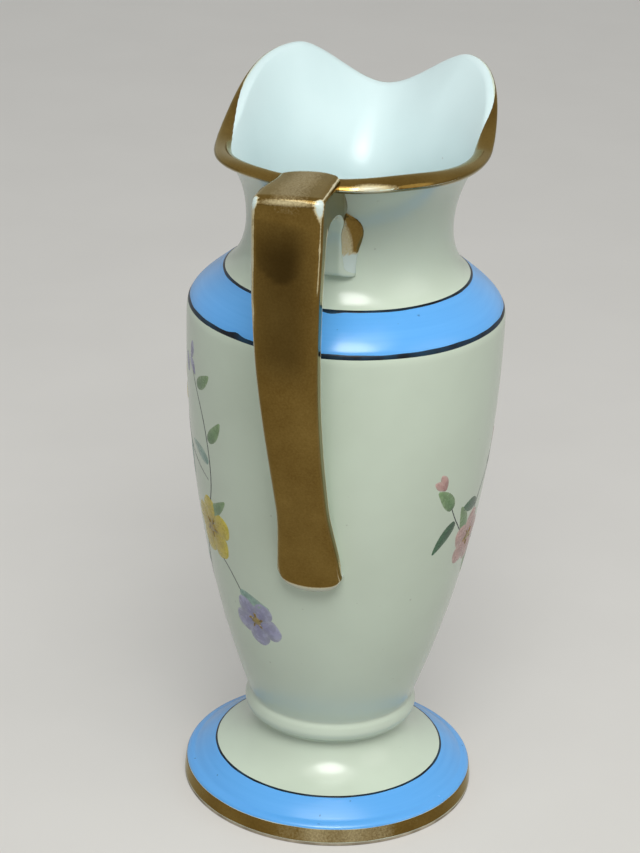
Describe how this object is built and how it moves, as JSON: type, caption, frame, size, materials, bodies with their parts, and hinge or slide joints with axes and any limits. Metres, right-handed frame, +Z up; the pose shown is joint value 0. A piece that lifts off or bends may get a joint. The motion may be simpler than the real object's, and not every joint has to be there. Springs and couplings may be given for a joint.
{
  "type": "footed pitcher",
  "caption": "Vase-shaped porcelain pitcher on a hollow pedestal foot, with a wavy pouring lip, a gilded strap handle and blue enamel bands.",
  "frame": {"origin": "on the table plane, under the middle of the overall box; the axis of the body stands 6.5 mm to +X of it", "axes": "+Z up, +X towards the pouring lip, -X towards the handle, +Y across"},
  "size_m": [0.08, 0.0602, 0.145],
  "materials": {
    "porcelain": "gloss",
    "luting_slip": "matte",
    "gilding": "polished",
    "blue_enamel": "gloss",
    "line_enamel": "satin"
  },
  "bodies": {
    "root": {"vessel_body": "porcelain", "waist_ring": "porcelain", "pedestal_foot": "porcelain", "handle": "porcelain", "foot_lute": "luting_slip", "handle_upper_lute": "luting_slip", "handle_lower_lute": "luting_slip", "rim_gilding": "gilding", "handle_gilding": "gilding", "foot_edge_gilding": "gilding", "shoulder_enamel": "blue_enamel", "foot_enamel": "blue_enamel", "shoulder_upper_line": "line_enamel", "shoulder_lower_line": "line_enamel", "foot_line": "line_enamel"}
  },
  "joints": []
}
